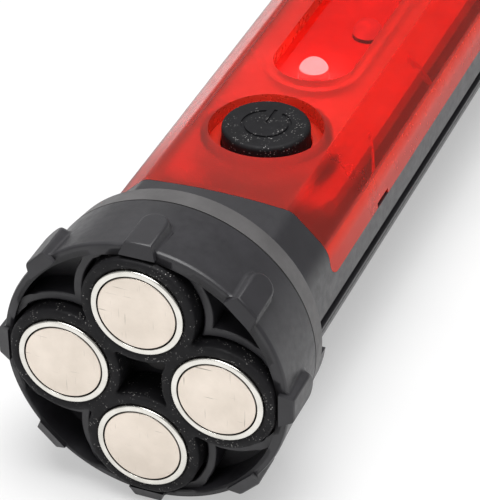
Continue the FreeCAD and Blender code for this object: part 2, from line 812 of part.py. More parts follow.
def build_button():
    """Round rubber power button, the switch under it and the well's seal."""
    face = cylinder("button_face", "button_radius", "button_top - button_bottom", "0", "button_y",
                    "button_bottom", "Z")
    stem = cylinder("button_stem", "stem_radius", "button_bottom - stem_bottom", "0", "button_y",
                    "stem_bottom", "Z")
    cut_z = "button_top - symbol_depth"
    ring_out = cylinder("symbol_out", "symbol_radius", "margin", "0", "button_y", cut_z, "Z")
    ring_in = cylinder("symbol_in", "symbol_radius - symbol_line", "2 * margin", "0", "button_y",
                       cut_z + " - margin / 2", "Z")
    gap = box("symbol_opening", ("-symbol_gap", "button_y + symbol_gap", cut_z + " - margin"),
              ("2 * symbol_gap", "symbol_radius", "3 * margin"))
    bar = box("symbol_bar", ("-symbol_line / 2", "button_y + bar_start", cut_z),
              ("symbol_line", "bar_length", "margin"))
    ring = cut("symbol_ring", ring_out, ring_in, gap)
    keep("power_button", cut("button_solid", fuse("button_blank", face, stem), ring, bar))
    board_top = "lip_top + board_thick"
    switch = box("switch_blank", ("-switch_half", "button_y - switch_half", board_top),
                 ("2 * switch_half", "2 * switch_half", "switch_top - (%s)" % board_top))
    throat = cylinder("switch_throat", "plunger_radius + running_gap", "reach", "0", "button_y",
                      "plunger_bottom - button_travel - way_gap", "Z")
    keep("switch_body", cut("switch_solid", switch, throat))
    keep("switch_plunger", cylinder("plunger", "plunger_radius", "stem_bottom - plunger_bottom", "0",
                                    "button_y", "plunger_bottom", "Z"))
    seal = cylinder("seal_blank", "well_radius + well_wall - assembly_gap", "seal_thick", "0", "button_y",
                    "well_bottom - seal_thick", "Z")
    seal_hole = cylinder("seal_hole", "stem_radius + stem_gap", "reach", "0", "button_y", "0", "Z")
    keep("button_seal", cut("seal_solid", seal, seal_hole))


def build_battery_bay():
    """Two columns of two cells between the carrier and the bay's springs."""
    number = 0
    for side in ("-", ""):
        for row in range(2):
            number += 1
            tag = "_%d" % number
            start = "cell_front + %d * cell_length" % row
            can = cylinder("cell_can" + tag, "cell_radius", "cell_length - nub_length", side + "cell_x",
                           start + " + nub_length", "cell_z")
            nub = cylinder("cell_nub" + tag, "nub_radius", "nub_length", side + "cell_x", start, "cell_z")
            keep("battery_cell" + tag, fuse("cell" + tag, can, nub))
    spring_start = "cell_front + 2 * cell_length"
    for number, side in enumerate(("-", ""), start=1):
        tag = "_%d" % number
        plate = box("plate" + tag,
                    (side + "cell_x - plate_half", "bay_rear - plate_thick", "cell_z - plate_half"),
                    ("2 * plate_half", "plate_thick", "lip_top - cell_z + plate_half"))
        keep("bay_terminal" + tag, plate)
        keep("bay_spring" + tag, coil_spring("bay_coil" + tag, side + "cell_x", spring_start, "cell_z"))


def coil_spring(name, x, y, z):
    """A wire helix with an eight-sided wire, just short of the faces it rests on."""
    radius = SIZES["spring_radius"]
    wire = SIZES["spring_wire"]
    room = SIZES["bay_rear"] - SIZES["plate_thick"] - SIZES["cell_front"] - 2 * SIZES["cell_length"]
    clearance = SIZES["lip_gap"]
    rise = room - 2 * (wire + clearance)
    helix = Part.makeHelix(rise / SIZES["spring_turns"], rise, radius)
    sides = 8
    corners = []
    for index in range(sides + 1):
        angle = 2 * math.pi * index / sides
        corners.append(FreeCAD.Vector(radius + wire * math.cos(angle), 0, wire * math.sin(angle)))
    section = Part.makePolygon(corners)
    thing = DOC.addObject("Part::Feature", name)
    thing.Shape = Part.Wire(helix.Edges).makePipeShell([section], True, True)
    place(thing, x, y + " + spring_wire + lip_gap", z, ALONG_Y)
    return thing


def build_torch_head():
    """Bezel, window, reflector, board and emitter at the far end."""
    front = at_head("cap_rear")
    bezel = turned("bezel_ring", [
        ("socket_radius", front),
        ("cap_rear_radius", front),
        ("bezel_radius", "head_front - bezel_edge"),
        ("bezel_radius - bezel_edge", "head_front"),
        ("bezel_lip", "head_front"),
        ("bezel_lip", "head_front - lip_thick"),
        ("socket_radius", "head_front - lip_thick"),
    ])
    add_lugs(bezel, "head_lug_front", "head_lug_rear", -1)
    keep("head_bezel", bezel)
    lens_back = "head_front - lip_thick - head_lens_thick"
    keep("head_window", cylinder("head_window_disc", "head_lens_radius", "head_lens_thick", y=lens_back))
    board_start = "body_end + collar_rear - cap_rear - joint_gap"
    board = cylinder("torch_board_disc", "head_board_radius", "head_board_thick", y=board_start)
    keep("torch_board", board)
    chip_start = board_start + " + head_board_thick"
    keep("torch_emitter", box("emitter_chip", ("-emitter_half", chip_start, "-emitter_half"),
                              ("2 * emitter_half", "emitter_height", "2 * emitter_half")))
    bowl = reflector_outline(chip_start + " + assembly_gap", lens_back)
    keep("torch_reflector", turned("reflector_bowl", bowl))
    for number, x in enumerate(("lead_x", "-lead_x"), start=1):
        keep("head_lead_%d" % number,
             cylinder("lead_%d" % number, "lead_radius", "%s - board_rear + lead_overlap" % board_start, x,
                      "board_rear - lead_overlap", "lead_z"))


def reflector_outline(back, front):
    """Parabolic bowl: the squared radius grows evenly from throat to mouth."""
    steps = 8
    mouth = "(head_lens_radius - reflector_wall)"
    spread = "(reflector_throat ^ 2 + %s * (" + mouth + " ^ 2 - reflector_throat ^ 2))"
    inner = []
    outer = []
    for index in range(steps + 1):
        share = index / steps
        station = "%s + %s * (%s - (%s))" % (back, share, front, back)
        inner.append(("sqrt(%s)" % (spread % share), station))
        if index < steps:
            outer.append(("sqrt(%s) + reflector_wall" % (spread % share), station))
    rim_back = front + " - reflector_rim"
    last_share = (steps - 0.5) / steps
    rim = [
        ("head_lens_radius", front),
        ("head_lens_radius", rim_back),
        ("sqrt(%s) + reflector_wall" % (spread % last_share), rim_back),
    ]
    return inner + rim + outer[::-1]


def build_hook():
    """Flat fold-out hook with a side-entry eye, on a cross pin."""
    low = "hook_z - hook_thick / 2"
    bar = box("hook_bar", ("-hook_half", "hook_tip + hook_half", low),
              ("2 * hook_half", "hook_pivot - hook_tip - hook_half", "hook_thick"))
    nose = cylinder("hook_nose", "hook_half", "hook_thick", "0", "hook_tip + hook_half", low, "Z")
    barrel = cylinder("hook_barrel", "barrel_radius", "2 * hook_half", "-hook_half", "hook_pivot",
                      "hook_z", "X")
    start = low + " - margin"
    depth = "hook_thick + 2 * margin"
    eye = cylinder("hook_eye_cut", "hook_eye", depth, "-eye_offset", "eye_y", start, "Z")
    slot = box("hook_slot", ("-eye_offset", "eye_y", start), ("reach", "slot_length", depth))
    throat = cylinder("hook_throat", "hook_eye", depth, "-eye_offset", "throat_y", start, "Z")
    way = box("hook_way", ("-eye_offset - hook_eye", "eye_y", start),
              ("2 * hook_eye", "throat_y - eye_y", depth))
    bore = cylinder("hook_bore", "pin_radius + pin_gap", "2 * (hook_half + margin)",
                    "-hook_half - margin", "hook_pivot", "hook_z", "X")
    blank = fuse("hook_blank", bar, nose, barrel)
    keep("hanging_hook", cut("hook_solid", blank, eye, throat, way, slot, bore))
    keep("hook_pin", cylinder("hook_pin_rod", "pin_radius", "2 * (pocket_half + pin_seat)",
                              "-pocket_half - pin_seat", "hook_pivot", "hook_z", "X"))


def build_screws():
    """Four identical housing screws as one group of separate solids."""
    screws = []
    for number, (x, y) in enumerate(screw_places(), start=1):
        tag = "_%d" % number
        head = cylinder("head" + tag, "screw_head", "head_height", x, y,
                        "back_z + sink_depth - head_height", "Z")
        shank = cylinder("shank" + tag, "screw_radius - thread_bite", "screw_length", x, y,
                         "back_z + sink_depth", "Z")
        screws.append(fuse("screw" + tag, head, shank))
    group = DOC.addObject("Part::Compound", "screw_group")
    group.Links = screws
    keep("housing_screws", group)


def check_and_write():
    """Stop on any failed object, then write one file for each sub-part."""
    DOC.recompute()
    for thing in DOC.Objects:
        if "Invalid" in thing.State or "Error" in thing.State:
            raise RuntimeError("failed object: %s %s" % (thing.Name, thing.State))
    os.makedirs("parts", exist_ok=True)
    for label, thing in PARTS:
        shape = thing.Shape
        if shape.isNull() or not shape.isValid():
            raise RuntimeError("bad shape: " + label)
        limits = shape.BoundBox
        print("%-18s solids %d  volume %9.1f  x %6.1f..%6.1f  y %6.1f..%6.1f  z %6.1f..%6.1f" % (
            label, len(shape.Solids), shape.Volume, limits.XMin, limits.XMax,
            limits.YMin, limits.YMax, limits.ZMin, limits.ZMax))
        shape.exportStep("parts/%s.step" % label)


build_magnet_cap()
build_magnets()
build_contact_carrier()
build_collars()
build_housings()
build_lens_shell()
build_lamps()
build_button()
build_battery_bay()
build_torch_head()
build_hook()
build_screws()
check_and_write()
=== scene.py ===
import json
import math

import bmesh
import bpy
from mathutils import Matrix, Vector


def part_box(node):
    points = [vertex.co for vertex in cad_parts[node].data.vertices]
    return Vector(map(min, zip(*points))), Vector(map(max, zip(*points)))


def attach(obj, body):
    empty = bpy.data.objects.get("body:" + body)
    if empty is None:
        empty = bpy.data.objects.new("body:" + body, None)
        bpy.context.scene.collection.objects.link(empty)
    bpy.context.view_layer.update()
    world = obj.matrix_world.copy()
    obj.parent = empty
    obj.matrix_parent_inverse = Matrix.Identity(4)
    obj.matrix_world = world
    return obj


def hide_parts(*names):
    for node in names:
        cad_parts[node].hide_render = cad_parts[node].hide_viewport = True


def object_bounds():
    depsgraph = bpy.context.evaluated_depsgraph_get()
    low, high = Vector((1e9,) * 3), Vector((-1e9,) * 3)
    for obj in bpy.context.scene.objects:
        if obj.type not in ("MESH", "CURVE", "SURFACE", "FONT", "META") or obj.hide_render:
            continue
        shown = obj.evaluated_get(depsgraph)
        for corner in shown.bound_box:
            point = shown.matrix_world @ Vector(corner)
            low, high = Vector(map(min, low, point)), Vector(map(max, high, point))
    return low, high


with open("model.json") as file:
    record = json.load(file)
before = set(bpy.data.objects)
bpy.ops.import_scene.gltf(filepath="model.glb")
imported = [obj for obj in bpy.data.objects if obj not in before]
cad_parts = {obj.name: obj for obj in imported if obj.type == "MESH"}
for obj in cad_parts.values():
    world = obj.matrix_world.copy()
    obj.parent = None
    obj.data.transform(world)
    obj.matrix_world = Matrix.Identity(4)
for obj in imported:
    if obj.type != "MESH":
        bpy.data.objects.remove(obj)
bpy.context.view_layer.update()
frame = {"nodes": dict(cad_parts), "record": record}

MM = 0.001


# ---------------------------------------------------------------- materials

class Surface:
    """One Principled material, with helpers that add procedural detail."""

    def __init__(self, name):
        self.material = bpy.data.materials.new(name)
        self.material.use_nodes = True
        self.tree = self.material.node_tree
        self.shader = self.tree.nodes["Principled BSDF"]
        self.place = self.tree.nodes.new("ShaderNodeTexCoord").outputs["Object"]

    def node(self, kind, **settings):
        made = self.tree.nodes.new(kind)
        for key, value in settings.items():
            setattr(made, key, value)
        return made

    def link(self, output, target):
        self.tree.links.new(output, target)

    def set(self, **values):
        for key, value in values.items():
            self.shader.inputs[key.replace("_", " ")].default_value = value

    def noise(self, size, detail=3.0, roughness=0.55, stretch=None):
        """Noise whose blobs are about `size` millimetres across."""
        texture = self.node("ShaderNodeTexNoise")
        texture.inputs["Scale"].default_value = 1.0 / (size * MM)
        texture.inputs["Detail"].default_value = detail
        texture.inputs["Roughness"].default_value = roughness
        source = self.place
        if stretch:
            mapping = self.node("ShaderNodeMapping")
            mapping.inputs["Scale"].default_value = stretch
            self.link(source, mapping.inputs["Vector"])
            source = mapping.outputs["Vector"]
        self.link(source, texture.inputs["Vector"])
        return texture.outputs["Fac"]

    def specks(self, size, share):
        """Small bright spots, for dust: one cell in a few shows a dot."""
        cells = self.node("ShaderNodeTexVoronoi", feature="F1")
        cells.inputs["Scale"].default_value = 1.0 / (size * MM)
        self.link(self.place, cells.inputs["Vector"])
        return self.ramp(cells.outputs["Distance"], ((0.0, 1.0), (share, 0.0)))

    def ramp(self, source, stops):
        """A ramp of (position, grey or colour) stops."""
        ramp = self.node("ShaderNodeValToRGB")
        points = ramp.color_ramp.elements
        while len(points) < len(stops):
            points.new(0.5)
        for point, (position, value) in zip(points, stops):
            point.position = position
            point.color = value if isinstance(value, tuple) else (value, value, value, 1.0)
        self.link(source, ramp.inputs["Fac"])
        return ramp.outputs["Color"]

    def mix(self, first, second, share):
        mixer = self.node("ShaderNodeMix", data_type="RGBA")
        pairs = ((share, mixer.inputs[0]), (first, mixer.inputs[6]), (second, mixer.inputs[7]))
        for source, socket in pairs:
            if isinstance(source, (int, float, tuple)):
                socket.default_value = source
            else:
                self.link(source, socket)
        return mixer.outputs[2]

    def colour(self, source):
        self.link(source, self.shader.inputs["Base Color"])

    def roughness(self, source):
        self.link(source, self.shader.inputs["Roughness"])

    def bump(self, source, height, strength):
        """Surface relief `height` millimetres high, added on any earlier relief."""
        bump = self.node("ShaderNodeBump")
        bump.inputs["Distance"].default_value = height * MM
        bump.inputs["Strength"].default_value = strength
        self.link(source, bump.inputs["Height"])
        normal = self.shader.inputs["Normal"]
        if normal.is_linked:
            self.link(normal.links[0].from_socket, bump.inputs["Normal"])
        self.link(bump.outputs["Normal"], normal)


def moulded(name, dark, light, rough=(0.42, 0.58), grain=0.18, dust=0.0, coat=0.0, shine=0.5):
    """Moulded plastic or rubber: mottled colour, fine grain, optional dust."""
    surface = Surface(name)
    tone = surface.ramp(surface.noise(6.0, 4.0), ((0.3, dark), (0.72, light)))
    if dust:
        spots = surface.specks(0.42, 0.30)
        patches = surface.ramp(surface.noise(1.9, 3.0), ((0.50, 0.0), (0.66, dust)))
        share = surface.node("ShaderNodeMath", operation="MULTIPLY")
        surface.link(spots, share.inputs[0])
        surface.link(patches, share.inputs[1])
        tone = surface.mix(tone, (0.62, 0.60, 0.58, 1.0), share.outputs[0])
    surface.colour(tone)
    surface.roughness(surface.ramp(surface.noise(1.4, 3.0), ((0.3, rough[0]), (0.75, rough[1]))))
    surface.bump(surface.noise(grain, 2.0), 0.02, 0.5)
    surface.set(Coat_Weight=coat, Specular_IOR_Level=shine)
    return surface.material


def grey(value, tint=(1.0, 1.0, 1.0)):
    return (value * tint[0], value * tint[1], value * tint[2], 1.0)


def make_materials():
    cool = (0.97, 0.93, 1.08)
    warm = (1.03, 0.99, 1.0)
    blue = (0.9, 1.0, 1.15)
    return {
        "black_plastic": moulded("black_plastic", grey(0.016, cool), grey(0.024, cool),
                                 (0.36, 0.48), 0.16),
        "black_rubber": moulded("black_rubber", grey(0.006, cool), grey(0.010, cool),
                                (0.5, 0.7), 0.22, 0.9, shine=0.18),
        "collar_plastic": moulded("collar_plastic", grey(0.065, warm), grey(0.095, warm),
                                  (0.46, 0.6), 0.25),
        "white_plastic": moulded("white_plastic", grey(0.78), grey(0.86), (0.3, 0.42), 0.4),
        "switch_stem": moulded("switch_stem", grey(0.05), grey(0.07), (0.4, 0.5), 0.3),
        "lead_sleeve": moulded("lead_sleeve", (0.45, 0.02, 0.015, 1.0), (0.55, 0.03, 0.02, 1.0),
                               (0.35, 0.5), 0.3),
        "cell_sleeve": moulded("cell_sleeve", grey(0.16, blue), grey(0.24, blue),
                               (0.18, 0.3), 0.8, coat=0.4),
        "circuit_board": moulded("circuit_board", (0.012, 0.09, 0.035, 1.0),
                                 (0.02, 0.13, 0.05, 1.0), (0.3, 0.45), 0.5),
        "emitter": moulded("emitter", (0.75, 0.62, 0.1, 1.0), (0.9, 0.78, 0.2, 1.0),
                           (0.25, 0.4), 0.3),
        "nickel_plate": metal("nickel_plate", (0.70, 0.68, 0.63, 1.0), (0.84, 0.82, 0.77, 1.0),
                              (0.14, 0.30)),
        "spring_steel": metal("spring_steel", (0.52, 0.52, 0.53, 1.0), (0.66, 0.66, 0.66, 1.0),
                              (0.22, 0.38)),
        "mirror_bowl": metal("mirror_bowl", (0.9, 0.9, 0.91, 1.0), (0.95, 0.95, 0.95, 1.0),
                             (0.03, 0.09)),
        "magnet_face": magnet_face(),
        "red_lens": red_lens("red_lens", 0.17, 0.27, 0.88, frosted=0.42),
        "red_gloss": red_lens("red_gloss", 0.03, 0.06, 0.97),
        "red_top": red_lens("red_top", 0.36, 0.46, 0.84, frosted=0.5),
        "red_side": red_lens("red_side", 0.2, 0.3, 0.45, frosted=0.4, bend=1.2),
        "red_floor": red_lens("red_floor", 0.3, 0.45, 0.65),
        "red_rib": red_lens("red_rib", 0.22, 0.4, 0.25),
        "lamp_dome": lamp_dome("lamp_dome", 0.3),
        # The first lamp's strongly glowing top is a painted highlight, not a lit lamp.
        "painted_highlight_dome": lamp_dome("painted_highlight_dome", 15.0),
        "clear_window": clear_window(),
    }


def metal(name, dark, light, rough):
    """Plated metal: mottled reflectance, uneven gloss and hairline scratches."""
    surface = Surface(name)
    surface.colour(surface.ramp(surface.noise(3.0, 4.0), ((0.3, dark), (0.7, light))))
    surface.roughness(surface.ramp(surface.noise(0.9, 4.0), ((0.3, rough[0]), (0.75, rough[1]))))
    surface.bump(surface.noise(0.35, 3.0), 0.004, 0.4)
    surface.set(Metallic=1.0)
    return surface.material


def magnet_face():
    """Satin plated magnet disc, warm white, with random scratches and small dents."""
    surface = Surface("magnet_face")
    base = surface.ramp(surface.noise(7.0, 6.0), ((0.3, (0.72, 0.64, 0.555, 1.0)),
                                                  (0.7, (0.86, 0.77, 0.68, 1.0))))
    upright = surface.noise(0.35, 2.0, stretch=(1.0, 1.0, 0.05))
    level = surface.noise(0.45, 2.0, stretch=(0.06, 1.0, 1.0))
    along = surface.ramp(upright, ((0.68, 0.0), (0.74, 1.0)))
    across = surface.ramp(level, ((0.69, 0.0), (0.75, 1.0)))
    marks = surface.mix(along, (1.0, 1.0, 1.0, 1.0), across)
    dents = surface.ramp(surface.noise(1.3, 4.0, 0.7), ((0.62, 0.0), (0.72, 1.0)))
    surface.colour(surface.mix(base, (0.40, 0.36, 0.31, 1.0), marks))
    surface.roughness(surface.ramp(surface.noise(0.9, 5.0), ((0.3, 0.30), (0.75, 0.46))))
    surface.bump(dents, 0.02, 0.6)
    surface.bump(marks, 0.008, 0.4)
    surface.set(Metallic=0.9)
    return surface.material


def red_lens(name, smooth, rough, clear, frosted=0.0, bend=1.32):
    """Translucent red plastic: uneven roughness, a little scatter, and a frosted front end."""
    surface = Surface(name)
    surface.colour(surface.ramp(surface.noise(9.0, 3.0), ((0.3, (0.93, 0.045, 0.022, 1.0)),
                                                          (0.7, (0.98, 0.065, 0.034, 1.0)))))
    gloss = surface.ramp(surface.noise(1.6, 3.0), ((0.3, smooth), (0.75, rough)))
    if frosted:
        along = surface.node("ShaderNodeSeparateXYZ")
        surface.link(surface.place, along.inputs[0])
        decimetres = surface.node("ShaderNodeMath", operation="MULTIPLY")
        decimetres.inputs[1].default_value = 10.0
        surface.link(along.outputs["Y"], decimetres.inputs[0])
        near_neck = surface.ramp(decimetres.outputs[0], ((0.38, 1.0), (0.58, 0.0)))
        gloss = surface.mix(gloss, grey(frosted), near_neck)
        grain = surface.node("ShaderNodeMath", operation="MULTIPLY")
        surface.link(surface.noise(0.3, 2.0), grain.inputs[0])
        surface.link(near_neck, grain.inputs[1])
        surface.bump(grain.outputs[0], 0.05, 0.7)
    surface.roughness(gloss)
    surface.set(Transmission_Weight=clear, IOR=bend, Specular_IOR_Level=0.32)
    return surface.material


def lamp_dome(name, glow):
    """Pale lamp dome; its glow is strong in green and blue to read as pink under the red pane, and
    at the first lamp's strength it is a painted highlight.
    """
    surface = Surface(name)
    surface.colour(surface.ramp(surface.noise(2.0, 2.0), ((0.3, (0.95, 0.88, 0.82, 1.0)),
                                                          (0.7, (1.0, 0.95, 0.9, 1.0)))))
    surface.roughness(surface.ramp(surface.noise(0.8, 2.0), ((0.3, 0.08), (0.7, 0.16))))
    surface.set(Transmission_Weight=0.4, Emission_Strength=glow)
    surface.set(Emission_Color=(0.9, 0.5, 1.0, 1.0))
    return surface.material


def clear_window():
    """Clear plastic with faintly uneven gloss."""
    surface = Surface("clear_window")
    surface.colour(surface.ramp(surface.noise(8.0, 2.0), ((0.3, (0.96, 0.98, 1.0, 1.0)),
                                                          (0.7, (1.0, 1.0, 1.0, 1.0)))))
    surface.roughness(surface.ramp(surface.noise(2.0, 3.0), ((0.3, 0.01), (0.75, 0.06))))
    surface.set(Transmission_Weight=0.95, IOR=1.49)
    return surface.material


# ---------------------------------------------------------------- pieces

BODIES = frame["record"]["behaviour"]["bodies"]
BODY_OF = {node: body for body, nodes in BODIES.items() for node in nodes}
SLOT_OF = {entry["node"]: entry["material_slot"] for entry in frame["record"]["subparts"]}
LOOKS = make_materials()


def cleaned(mesh):
    """The piece's mesh as editable geometry, with the flat faces joined up."""
    work = bmesh.new()
    work.from_mesh(mesh)
    bmesh.ops.remove_doubles(work, verts=work.verts, dist=1e-6)
    flat = math.radians(0.6)
    bmesh.ops.dissolve_limit(work, angle_limit=flat, verts=work.verts, edges=work.edges)
    return work


def round_off(work, chosen, width, segments):
    """Round the chosen sharp edges; `width` millimetres is taken off each side."""
    least_angle = math.radians(28.0)
    edges = [edge for edge in work.edges if len(edge.link_faces) == 2
             and edge.calc_face_angle(0.0) > least_angle and chosen(edge)]
    if edges:
        bmesh.ops.bevel(work, geom=edges, offset=width * MM, segments=segments, profile=0.5,
                        affect="EDGES", clamp_overlap=False, offset_type="OFFSET")


def finish_edges(thing, width):
    """Small even rounding on the sharp edges that are left, and smooth shading."""
    sharp = math.radians(30.0)
    thing.data.shade_smooth()
    if width:
        bevel = thing.modifiers.new("rounded_edges", "BEVEL")
        bevel.width = width * MM
        bevel.segments = 3
        bevel.limit_method = "ANGLE"
        bevel.angle_limit = sharp
        bevel.use_clamp_overlap = True
        bevel.miter_outer = "MITER_ARC"
    else:
        thing.data.set_sharp_from_angle(angle=sharp)
    smooth = thing.modifiers.new("even_shading", "WEIGHTED_NORMAL")
    smooth.keep_sharp = True
    smooth.weight = 80


def as_object(work, name):
    """A new object from finished editable geometry."""
    bmesh.ops.recalc_face_normals(work, faces=work.faces)
    mesh = bpy.data.meshes.new(name)
    work.to_mesh(mesh)
    work.free()
    thing = bpy.data.objects.new(name, mesh)
    bpy.context.scene.collection.objects.link(thing)
    return thing


def dress(thing, node, materials=()):
    """Give a piece its node's look, body and slot."""
    slot = SLOT_OF[node]
    thing.data.materials.clear()
    for material in materials or (LOOKS[slot],):
        thing.data.materials.append(material)
    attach(thing, BODY_OF[node])


def moulded_copy(node, width, rounds=(), materials=(), choose=None):
    """The CAD piece with its real edge rounding, shown in its place.

    `rounds` holds (edge test, width, segments) for the larger roundings, and
    `choose` gives the number of the material that a face takes.
    """
    source = frame["nodes"][node]
    thing = bpy.data.objects.new(node + "_finish", source.data.copy())
    bpy.context.scene.collection.objects.link(thing)
    work = cleaned(thing.data)
    dress(thing, node, materials)
    for chosen, wide, steps in rounds:
        round_off(work, chosen, wide, steps)
    if choose:
        for face in work.faces:
            face.material_index = choose(face.calc_center_median() / MM, face.normal)
    work.to_mesh(thing.data)
    work.free()
    finish_edges(thing, width)
    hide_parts(node)
    return thing


WELL_Y = 55.3
SHELL_LOOKS = ("red_lens", "red_gloss", "red_rib", "red_side", "red_top")


def shell_look(centre, normal):
    """The look of one face of the lens shell, from its place in millimetres."""
    well_inner, well_outer, well_top, well_bottom = 10.0, 11.8, 15.3, 13.3
    window_front, window_rear, window_end = 70.0, 190.5, 3.5
    window_inner, window_middle, window_outer, window_bottom = 7.3, 8.0, 9.0, 10.5
    floor_side, floor_front, floor_rear, floor_top = 7.6, 71.0, 189.5, 15.0
    steep, level, top_face, flank, hem = 0.7, 0.93, 15.0, 19.2, 3.2
    from_well = math.hypot(centre.x, centre.y - WELL_Y)
    side = abs(centre.x)
    at_window = window_front < centre.y < window_rear
    beside_window = at_window and window_inner < side < window_outer
    middle = window_front + window_end < centre.y < window_rear - window_end
    end_of_window = at_window and side < window_outer and not middle
    window_wall = centre.z > window_bottom and (beside_window or end_of_window)
    upright = abs(normal.z) < steep and centre.z < well_top
    if upright and (from_well < well_outer or window_wall):
        return "red_rib"
    well_foot = well_inner < from_well < well_outer
    window_foot = side > window_middle and beside_window
    if normal.z < -steep and centre.z < well_bottom and (well_foot or window_foot):
        return "red_rib"
    on_floor = side < floor_side and floor_front < centre.y < floor_rear and centre.z < floor_top
    facing_in = normal.x * centre.x + normal.z * centre.z < 0.0
    if on_floor or facing_in:
        return "red_gloss"
    if normal.z > level and centre.z > top_face:
        return "red_top"
    return "red_side" if side > flank or centre.z < hem else "red_lens"


def make_body():
    def shell_part(centre, normal):
        return SHELL_LOOKS.index(shell_look(centre, normal))

    looks = [LOOKS[name] for name in SHELL_LOOKS]
    moulded_copy("lens_shell", 0.35, materials=looks, choose=shell_part)
    moulded_copy("front_housing", 0.35)
    moulded_copy("back_housing", 0.3)


def lathe(name, profile, centre=(0.0, 0.0)):
    """Turn a closed outline of (radius, y) millimetre points about an axis along Y."""
    steps, on_axis = 128, 1e-6
    work = bmesh.new()
    rings = []
    for radius, y in profile:
        if radius < on_axis:
            rings.append([work.verts.new((centre[0], y * MM, centre[1]))])
            continue
        ring = []
        for step in range(steps):
            turn = 2.0 * math.pi * step / steps
            ring.append(work.verts.new((centre[0] + radius * MM * math.cos(turn), y * MM,
                                        centre[1] + radius * MM * math.sin(turn))))
        rings.append(ring)
    for first, second in zip(rings, rings[1:] + rings[:1]):
        if len(first) == 1 and len(second) == 1:
            continue
        for step in range(steps):
            after = (step + 1) % steps
            corners = [first[step % len(first)], first[after % len(first)],
                       second[after % len(second)], second[step % len(second)]]
            work.faces.new(list(dict.fromkeys(corners)))
    thing = as_object(work, name)
    thing.data.shade_smooth()
    thing.data.set_sharp_from_angle(angle=math.radians(40.0))
    return thing


def arc_points(centre, radius, start, end):
    """Points of a round corner in an outline, from one angle to another in degrees."""
    count = 5
    points = []
    for step in range(count):
        turn = math.radians(start + (end - start) * step / (count - 1))
        points.append((centre[0] + radius * math.cos(turn), centre[1] + radius * math.sin(turn)))
    return points


def make_magnets():
    """Pot magnets: a plated cup with a rolled rim and a core set in a gap whose wall is dark as
    painted shade.
    """
    cup_outer, cup_inner, core = 7.98, 6.98, 6.72
    rim_round, lip_round, core_round = 0.28, 0.10, 0.14
    back, floor, front, rim_front = 5.0, 3.6, 0.02, 0.02
    for number in range(1, 5):
        cup_node, core_node = "magnet_cup_%d" % number, "magnet_core_%d" % number
        low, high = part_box(cup_node)
        centre = ((low[0] + high[0]) / 2.0, (low[2] + high[2]) / 2.0)
        rim = arc_points((cup_outer - rim_round, rim_front + rim_round), rim_round, 0.0, -90.0)
        lip = arc_points((cup_inner + lip_round, rim_front + lip_round), lip_round, -90.0, -180.0)
        outline = [(0.0, back), (cup_outer, back)] + rim + lip + [(cup_inner, floor), (0.0, floor)]
        cup = lathe(cup_node + "_finish", outline, centre)
        dress(cup, cup_node, (LOOKS["nickel_plate"], LOOKS["black_rubber"]))
        # The cup's inner wall round the core takes the black rubber look, a painted shade in the
        # gap.
        for face in cup.data.polygons:
            away = math.hypot(face.center.x - centre[0], face.center.z - centre[1])
            painted_shade_gap = away < (cup_inner + 0.02) * MM and face.center.y > 0.2 * MM
            face.material_index = 1 if painted_shade_gap else 0
        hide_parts(cup_node)
        edge = arc_points((core - core_round, front + core_round), core_round, 0.0, -90.0)
        outline = [(0.0, floor), (core, floor)] + edge + [(0.0, front)]
        disc = lathe(core_node + "_finish", outline, centre)
        dress(disc, core_node)
        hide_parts(core_node)


def settle(thing):
    """Turn a piece's modifiers into its mesh."""
    shaped = thing.evaluated_get(bpy.context.evaluated_depsgraph_get())
    mesh = bpy.data.meshes.new_from_object(shaped)
    thing.modifiers.clear()
    thing.data = mesh


def make_boot():
    """Moulded rubber boot, softened all over the way a rubber moulding is."""
    thing = moulded_copy("magnet_boot", 0.0)
    thing.modifiers.clear()
    body = thing.modifiers.new("even_mesh", "REMESH")
    body.mode = "VOXEL"
    body.voxel_size = 0.32 * MM
    body.use_smooth_shade = True
    soft = thing.modifiers.new("soft_edges", "SMOOTH")
    soft.factor = 0.5
    soft.iterations = 7
    settle(thing)


def lug_edge(edge):
    """The grip lugs' edges and the outer edge of the rim."""
    rim_radius, lug_length = 24.25, 12.0
    return all(math.hypot(end.co.x, end.co.z) > rim_radius * MM and end.co.y < lug_length * MM
               for end in edge.verts)


def wall_edge(edge):
    """The front edges of the clover wall, short of where it meets the rim."""
    reach, wall_front, margin = 22.4, 2.6, 0.1
    return all(math.hypot(end.co.x, end.co.z) < reach * MM
               and abs(end.co.y - wall_front * MM) < margin * MM for end in edge.verts)


def make_cap():
    moulded_copy("magnet_cap", 0.0, rounds=((lug_edge, 0.42, 4), (wall_edge, 0.4, 4)))
    make_boot()
    make_magnets()


def button_rim(edge):
    """The round top edge of the power button."""
    low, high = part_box("power_button")
    middle, reach, top = (low[1] + high[1]) / 2.0, high[0] * 0.98, high[2] - 0.05 * MM
    return all(end.co.z >= top and math.hypot(end.co.x, end.co.y - middle) >= reach
               for end in edge.verts)


def make_button():
    moulded_copy("power_button", 0.06, rounds=((button_rim, 0.8, 5),))


def inner_height(x):
    """How high the underside of the lens shell's right facet is, in millimetres."""
    facet_start, facet_top, slope = 12.6, 12.45, 0.986
    bend_x, bend_z, bend_radius, bend_start = 13.9, 5.83, 3.8, 16.57
    if x < bend_start:
        return facet_top - (x - facet_start) * slope
    return bend_z + math.sqrt(bend_radius ** 2 - (x - bend_x) ** 2)


